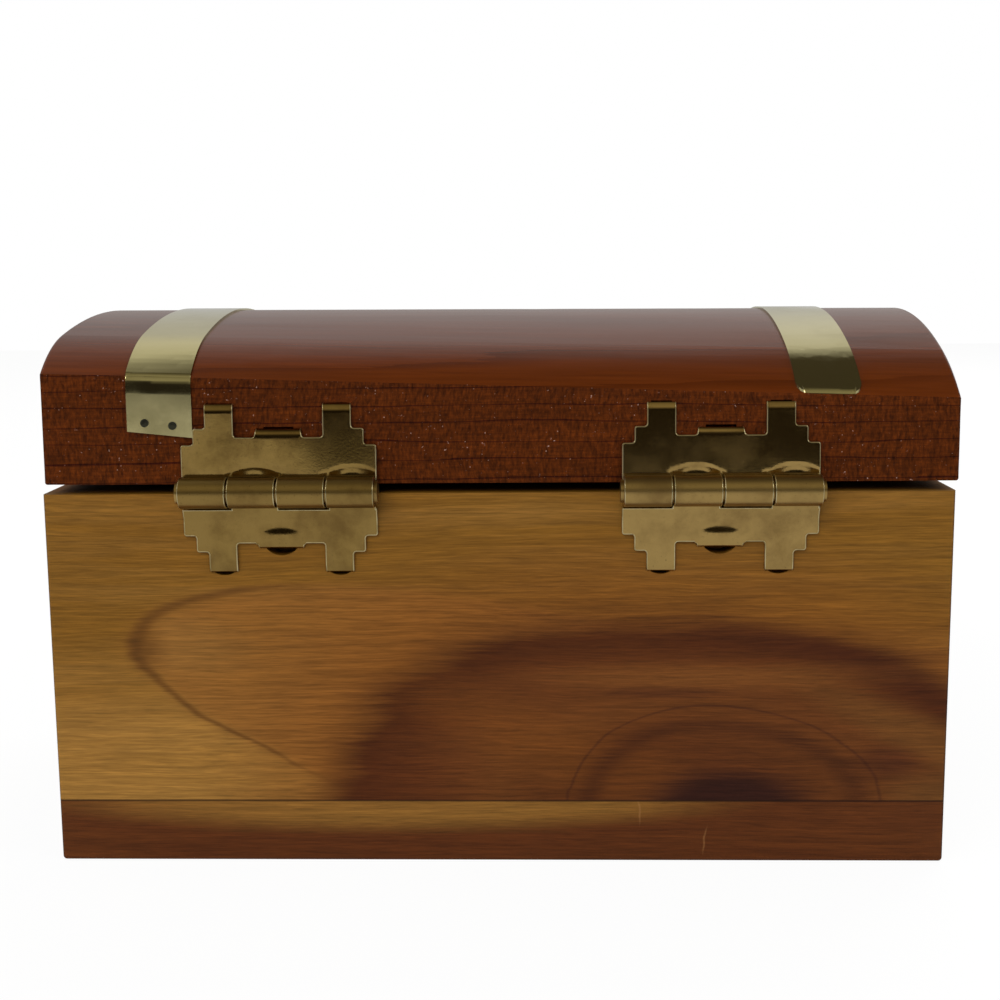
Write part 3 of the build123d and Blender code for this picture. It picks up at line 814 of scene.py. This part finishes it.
# Dark nail heads: oxidised steel plus painted shade of the sunk dimples round them.
dark_nail_with_painted_shade = plated_brass("dark_steel_nail_with_painted_shade", dark_steel_with_painted_shade, polish=0.4, patch=1.0, pit_share=0.4)
metals = (hinge_metal, darker_hinge_metal, rim_highlight_and_wear_metal, strap_metal, wire_metal, dark_nail_with_painted_shade)
print("metals", [metal.name for metal in metals])

# %% [markdown]
# ## The path of a bent sheet
#
# A hinge leaf is stamped flat from sheet, bent into the wood at its three tips and rolled
# round the pin. The CAD leaf has the right outline, but its knuckles are plain rings stuck on
# a plate. Here each leaf is made the way the press makes it: a flat blank, cut into small
# faces, is walked along the path that the sheet takes. Sculpting or a bend modifier could
# roll it too, but a path of runs and bends is exact. The upper leaf's path is the roll alone.
# The lower leaf first slopes out from the wood, then runs straight out and rolls round the pin.

# %% Walk along runs and bends
def walk(start, angle, runs, distance):
    """Place and direction at a distance along straight runs and bends.

    Each run is its length and its bend radius: 0 is straight, above 0 turns left.
    """
    place = Vector(start)
    for length, radius in runs:
        step = min(distance, length)
        if radius:
            centre = place + radius * Vector((-math.sin(angle), math.cos(angle)))
            angle += step / radius
            place = centre - radius * Vector((-math.sin(angle), math.cos(angle)))
        else:
            place = place + step * Vector((math.cos(angle), math.sin(angle)))
        distance -= step
        if distance <= 0:
            break
    return place, angle


hinge_sheet = 0.6
wood_face = -2.6
knuckle_radius = 2.29
roll_radius = knuckle_radius - hinge_sheet / 2
flat_out = wood_face + hinge_sheet / 2
roll_turn = math.radians(298)

straight_runs = [(roll_turn * roll_radius, roll_radius)]

body_fold = 4.35
slope_turn = math.radians(22)
crease_radius = 0.6
throat_radius = 0.5
throat_turn = math.pi / 2 - slope_turn
slope_top = body_fold - crease_radius * math.sin(slope_turn)
slope_end = roll_radius + throat_radius * (1 - math.cos(throat_turn))
slope_run = (slope_top - slope_end) / math.cos(slope_turn)
slope_out = crease_radius * (1 - math.cos(slope_turn)) + slope_run * math.sin(slope_turn)
shelf_run = -flat_out - slope_out - throat_radius * math.sin(throat_turn)
sloped_runs = [
    (slope_turn * crease_radius, crease_radius),
    (slope_run, 0),
    (throat_turn * throat_radius, throat_radius),
    (shelf_run, 0),
    (roll_turn * roll_radius, -roll_radius),
]
for label, start, runs in (
    ("straight", (-roll_radius, 0), straight_runs),
    ("sloped", (flat_out, body_fold), sloped_runs),
):
    place, angle = walk(start, -math.pi / 2, runs, sum(length for length, radius in runs))
    print(label, "roll ends at", [round(level, 2) for level in place])

# %% [markdown]
# ## The blank and its dents
#
# The blank's outline is one flat face with stepped ears, a middle tab and two knuckle
# strips. Its corners are rounded with a vertex bevel, and bisect cuts divide it so that it
# can bend. The marks are pressed in as it bends: the upper leaf has a half-moon groove over
# each knuckle of the lower one, and the lower leaf has a low ridge across its tab and a
# round dimple in each knuckle strip.

# %% Blank of a leaf
half_leaf = 28.575 / 2
step_width = 1.8
side_rise = 6.75
step_rise = 2.4
ear_width = 4.2
web_rise = 7.85
half_tab = 3.45
tab_slope = 0.15
knuckle_count = 4
knuckle_pitch = 2 * half_leaf / knuckle_count
knuckle_gap = 0.26
prong_length = 2.4
cut_keep_off = 0.2


def knuckle_middle(index):
    """Middle of a knuckle, counted from the leaf's +X side."""
    return half_leaf - (index + 0.5) * knuckle_pitch


def prong_end(tip):
    """Height of a prong's end on the flat blank, from its tip's top and bend radius."""
    top, radius = tip
    return top - radius - hinge_sheet / 2 + radius * math.pi / 2 + prong_length


def blank_outline(ear, tab, cut_edge, free_edge):
    """Corners of the flat blank, and whether each is rounded, anticlockwise from +X."""
    ear_outer = half_leaf - 2 * step_width
    ear_inner = ear_outer - ear_width
    right = [
        (half_leaf, side_rise, True),
        (half_leaf - step_width, side_rise, True),
        (half_leaf - step_width, side_rise + step_rise, True),
        (ear_outer, side_rise + step_rise, True),
        (ear_outer, prong_end(ear), False),
        (ear_inner, prong_end(ear), False),
        (ear_inner, web_rise, True),
        (half_tab, web_rise, True),
        (half_tab - tab_slope, tab[0], True),
        (half_tab - tab_slope, prong_end(tab), False),
    ]
    outline = right + [(-x, height, rounded) for x, height, rounded in reversed(right)]
    outline += [(-half_leaf, cut_edge, False)]
    half_strip = (knuckle_pitch - knuckle_gap) / 2
    for index in (2, 0):
        low = knuckle_middle(index) - half_strip
        high = knuckle_middle(index) + half_strip
        edges = [(low, cut_edge), (low, free_edge), (high, free_edge), (high, cut_edge)]
        outline += [(x, height, False) for x, height in edges]
    return outline + [(half_leaf, cut_edge, False)]


def cut_apart(mesh, axis, start, end, spacing, snap, corners=()):
    """Bisect a mesh along one axis at even steps, but not close to any of the corners."""
    count = round((end - start) / spacing)
    for i in range(1, count):
        level = start + (end - start) * i / count
        if any(abs(level - corner) < cut_keep_off for corner in corners):
            continue
        geometry = mesh.verts[:] + mesh.edges[:] + mesh.faces[:]
        bmesh.ops.bisect_plane(mesh, geom=geometry, dist=snap, plane_co=axis * level, plane_no=axis)


print("knuckle middles", [round(knuckle_middle(i), 2) for i in range(knuckle_count)])

# %% Dents of a leaf
dent_foot, dent_rise, dent_reach, dent_inner_share = 1.2, 2.5, 4.3, 0.6
dimple_radius = 0.55
ridge_slope, ridge_rise = 0.24, 6.6
moon_rise, moon_reach = 1.5, 3.2


def arch_dent(x, height):
    """Depth share of the two half-moon grooves over the other leaf's knuckles."""
    depth = 0.0
    for index in (1, 3):
        aside = (x - knuckle_middle(index)) / dent_reach
        level = math.hypot(aside, max(0.0, height - dent_foot) / dent_rise)
        across = min(1.0, level) ** (math.log(0.5) / math.log(dent_inner_share))
        depth = max(depth, 4 * across * (1.0 - across))
    return depth


def strip_dimple(x, below_crown):
    """Depth share of the dimple in each knuckle strip, from the distance along the roll."""
    aside = min(abs(x - knuckle_middle(index)) for index in (0, 2))
    level = math.hypot(aside, below_crown) / dimple_radius
    return (1.0 - min(1.0, level)) ** 2


def tab_ridge(x, height, tab_top):
    """Height of the low ridge pressed across the tab."""
    across = min(1.0, abs(x) / moon_reach)
    crest = moon_rise * math.sqrt(1.0 - across**2)
    fall = min(1.0, max(0.0, (tab_top - height) / (tab_top - ridge_rise)))
    climbed = min(crest, max(0.0, height - ridge_rise + crest))
    return ridge_slope * fall * climbed**2 / (2 * moon_rise)


print("grooves reach", dent_foot + dent_rise, "mm above the pin")

# %% [markdown]
# ## Rolling the blank
#
# Every vertex of the blank is moved to its place on the bent sheet. A Solidify modifier then
# gives the sheet its thickness on both sides of that middle surface. A small Bevel rounds the
# cut edges and gives them a second, paler metal. That metal is a painted highlight along the
# rims, and also the bare, bright plating that handling leaves where the flat plating goes brown.
# The lower leaf is made alike and turned half round.

# %% Bent places
twist_from = 0.5
twist_to = -7.0


def leaf_lean(x, leaf):
    """How far a leaf leans back at x, from one value on its +X side to one on the other."""
    near, far = leaf["lean"]
    share = min(1.0, max(0.0, (x - twist_from) / (twist_to - twist_from)))
    return math.tan(near + (far - near) * share * share * (3 - 2 * share))


def bent_place(x, height, leaf):
    """Where a point of the flat blank lies after the press: out from the pin and up from it."""
    top, radius = leaf["tab"] if abs(x) <= half_tab else leaf["ear"]
    start_out, start_up = leaf["start"]
    bend_start = top - radius - hinge_sheet / 2
    if height < start_up:
        place, angle = walk(leaf["start"], -math.pi / 2, leaf["runs"], start_up - height)
        dimple = leaf["dimple"] * strip_dimple(x, height - leaf["dimple_at"])
        return place + dimple * Vector((math.sin(angle), -math.cos(angle)))
    lean = leaf_lean(x, leaf)
    if height > bend_start:
        tip_runs = [(radius * math.pi / 2, radius), (prong_length, 0)]
        foot = (start_out - (bend_start - start_up) * lean, bend_start)
        return walk(foot, math.pi / 2, tip_runs, height - bend_start)[0]
    return Vector((start_out - (height - start_up) * lean, height))


print("the lean turns over", twist_from - twist_to, "mm")

# %% Leaf maker
corner_radius = 0.4
cut_spacing = 0.26
column_spacing = 1.5 * cut_spacing
cut_snap = 0.001
edge_round = 0.16
sharp_turn = math.radians(50)


def pressed_leaf(leaf):
    """The middle surface of a leaf, cut from a flat blank and bent, in millimetres."""
    cut_edge = leaf["cut_edge"]
    free_edge = leaf["start"][1] - sum(length for length, radius in leaf["runs"])
    outline = blank_outline(leaf["ear"], leaf["tab"], cut_edge, free_edge)
    blank = bmesh.new()
    corners = [blank.verts.new((x, 0, height)) for x, height, rounded in outline]
    blank.faces.new(corners)
    rounded = [vert for vert, corner in zip(corners, outline) if corner[2]]
    bmesh.ops.bevel(
        blank, geom=rounded, offset=corner_radius, segments=4, profile=0.5, affect="VERTICES", material=-1
    )
    rows = {height for x, height, is_round in outline if height > cut_edge}
    columns = {x for x, height, is_round in outline}
    top = prong_end(leaf["ear"])
    cut_apart(blank, Vector((0, 0, 1)), free_edge, top, cut_spacing, cut_snap, rows)
    cut_apart(blank, Vector((1, 0, 0)), -half_leaf, half_leaf, column_spacing, cut_snap, columns)
    for vert in blank.verts:
        x, height = vert.co.x, vert.co.z
        out, up = bent_place(x, height, leaf)
        if height >= cut_edge:
            out += leaf["ridge"] * tab_ridge(x, height, leaf["tab"][0])
            out -= leaf["dent"] * arch_dent(x, height)
        vert.co = (x, out, up)
    return blank


def hinge_leaf(name, leaf, metal, place):
    """A rolled leaf, from its sizes and metal, at a place on the chest."""
    sheet = pressed_leaf(leaf)
    for face in sheet.faces:
        face.smooth = True
    bmesh.ops.recalc_face_normals(sheet, faces=sheet.faces[:])
    sheet.transform(place @ Matrix.Scale(MM, 4))
    piece = make_piece(name, sheet, metal, rim_highlight_and_wear_metal)
    thick = piece.modifiers.new("sheet", "SOLIDIFY")
    thick.thickness = hinge_sheet * MM
    thick.offset = 0.0
    thick.use_even_offset = True
    edge = piece.modifiers.new("stamped_edge", "BEVEL")
    edge.width = edge_round * MM
    edge.segments = 3
    edge.use_clamp_overlap = False
    edge.limit_method = "ANGLE"
    edge.angle_limit = sharp_turn
    edge.harden_normals = True
    # The bevel's faces take the pale edge metal, a painted highlight on the rims as well as worn plating.
    edge.material = 1
    print(name, len(piece.data.polygons), "faces in the blank")
    return piece


print("cuts", cut_spacing, "by", round(column_spacing, 2), "mm apart")

# %% [markdown]
# ## Four leaves
#
# The pins say where the hinges are. The closed lid leans forward by one degree on its
# hinges, so its leaves lean with it. The left hinge's upper leaf was bent back a little when
# it was hammered on, so it faces upwards and mirrors the dim room, which is why the photo
# shows it dark. The other one is bent back at one side only.

# %% Leaves on the chest
lid_lean = math.radians(0.99)
bent_back = math.radians(2.6)
half_bent = math.radians(1.6)
dimple_turn = math.radians(74)
roll_start = body_fold - sum(length for length, radius in sloped_runs[:-1])
upper_leaf = {
    "start": (-roll_radius, 0.0),
    "runs": straight_runs,
    "ear": (12.8, 0.55),
    "tab": (9.3, 1.0),
    "cut_edge": 1.5,
    "dent": 0.14,
    "ridge": 0.0,
    "dimple": 0.0,
    "dimple_at": 0.0,
}
lower_leaf = {
    "start": (flat_out, body_fold),
    "runs": sloped_runs,
    "ear": (12.25, 0.55),
    "tab": (8.8, 0.8),
    "cut_edge": 2.5,
    "dent": 0.0,
    "ridge": 1.0,
    "dimple": 0.16,
    "dimple_at": roll_start - dimple_turn * roll_radius,
    "lean": (0.0, 0.0),
}
raised_leaf = {**upper_leaf, "lean": (bent_back, bent_back)}
twisted_leaf = {**upper_leaf, "lean": (0.0, half_bent)}
for side, lid_leaf, metal in (
    ("left", raised_leaf, hinge_metal),
    ("right", twisted_leaf, darker_hinge_metal),
):
    low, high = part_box(f"{side}_hinge_pin")
    at_pin = Matrix.Translation((Vector(low) + Vector(high)) / 2)
    for half, body, leaf, turn in (
        ("lid", "lid", lid_leaf, Matrix.Rotation(lid_lean, 4, "X")),
        ("body", "chest_body", lower_leaf, Matrix.Rotation(math.pi, 4, "Y")),
    ):
        piece = hinge_leaf(f"{side}_{half}_leaf_rolled", leaf, metal, at_pin @ turn)
        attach(piece, body)
        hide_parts(f"{side}_hinge_{half}_leaf")

# %% [markdown]
# ## Straps with round bends
#
# A strap is hammered over the edge of the lid, so its fold is round, but the CAD strap has a
# sharp one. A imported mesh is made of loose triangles, so the copy is merged first and its
# flat neighbours are joined. Then only the fold is bevelled, in several steps. Even cuts
# across the strap keep its shading smooth, and its rim is marked sharp. Drawing the strap
# again would lose the CAD's exact path.

# %% Strap copies
fold_size = 0.8
fold_from = math.radians(25)
fold_to = math.radians(70)
nearly_across = 0.9
nearly_flat = math.radians(0.3)
merge_distance = 0.001
strap_cut_spacing = 0.6
strap_cut_snap = 0.00001


def is_fold(edge):
    """Whether an edge lies across the strap where the strap is folded."""
    if len(edge.link_faces) != 2:
        return False
    run = (edge.verts[0].co - edge.verts[1].co).normalized()
    return abs(run.x) > nearly_across and fold_from < edge.calc_face_angle() < fold_to


def bent_strap(side):
    """A copy of a CAD strap with its fold rounded."""
    strap = bmesh.new()
    strap.from_mesh(nodes[f"{side}_strap"].data)
    bmesh.ops.remove_doubles(strap, verts=strap.verts[:], dist=merge_distance * MM)
    bmesh.ops.dissolve_limit(
        strap, angle_limit=nearly_flat, verts=strap.verts[:], edges=strap.edges[:]
    )
    folds = [edge for edge in strap.edges if is_fold(edge)]
    fold_count = len(folds)
    bmesh.ops.bevel(
        strap, geom=folds, offset=fold_size * MM, segments=5, profile=0.5, affect="EDGES", material=-1
    )
    low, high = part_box(f"{side}_strap")
    spacing, snap = strap_cut_spacing * MM, strap_cut_snap * MM
    cut_apart(strap, Vector((1, 0, 0)), low[0], high[0], spacing, snap)
    cut_apart(strap, Vector((0, 0, 1)), low[2], high[2], spacing, snap)
    bmesh.ops.recalc_face_normals(strap, faces=strap.faces[:])
    for face in strap.faces:
        face.smooth = True
    for edge in strap.edges:
        edge.smooth = len(edge.link_faces) == 2 and edge.calc_face_angle() < fold_from
    piece = make_piece(f"{side}_strap_bent", strap, strap_metal)
    print(piece.name, fold_count, "fold edges", len(piece.data.polygons), "faces")
    return piece


for side in ("left", "right"):
    piece = bent_strap(side)
    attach(piece, "lid")
    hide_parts(f"{side}_strap")

# %% [markdown]
# ## Dress the CAD pieces
#
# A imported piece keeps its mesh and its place, and only its material slot changes.

# %% Assign materials
finishes = {
    "back_panel": back_cedar,
    "front_panel": front_cedar,
    "left_end_panel": left_end_cedar,
    "right_end_panel": right_end_cedar,
    "bottom_board": bottom_cedar,
    "lid_board": lid_wood,
    "left_strap": strap_metal,
    "right_strap": strap_metal,
    "strap_nails": dark_nail_with_painted_shade,
    "bottom_brads": wire_metal,
    "hasp_pin": wire_metal,
    "staple_loop": wire_metal,
}
for name, node in nodes.items():
    node.data.materials.clear()
    node.data.materials.append(finishes.get(name, hinge_metal))
print("dressed", len(nodes), "pieces")

# %% End of the scene
print("scene built")
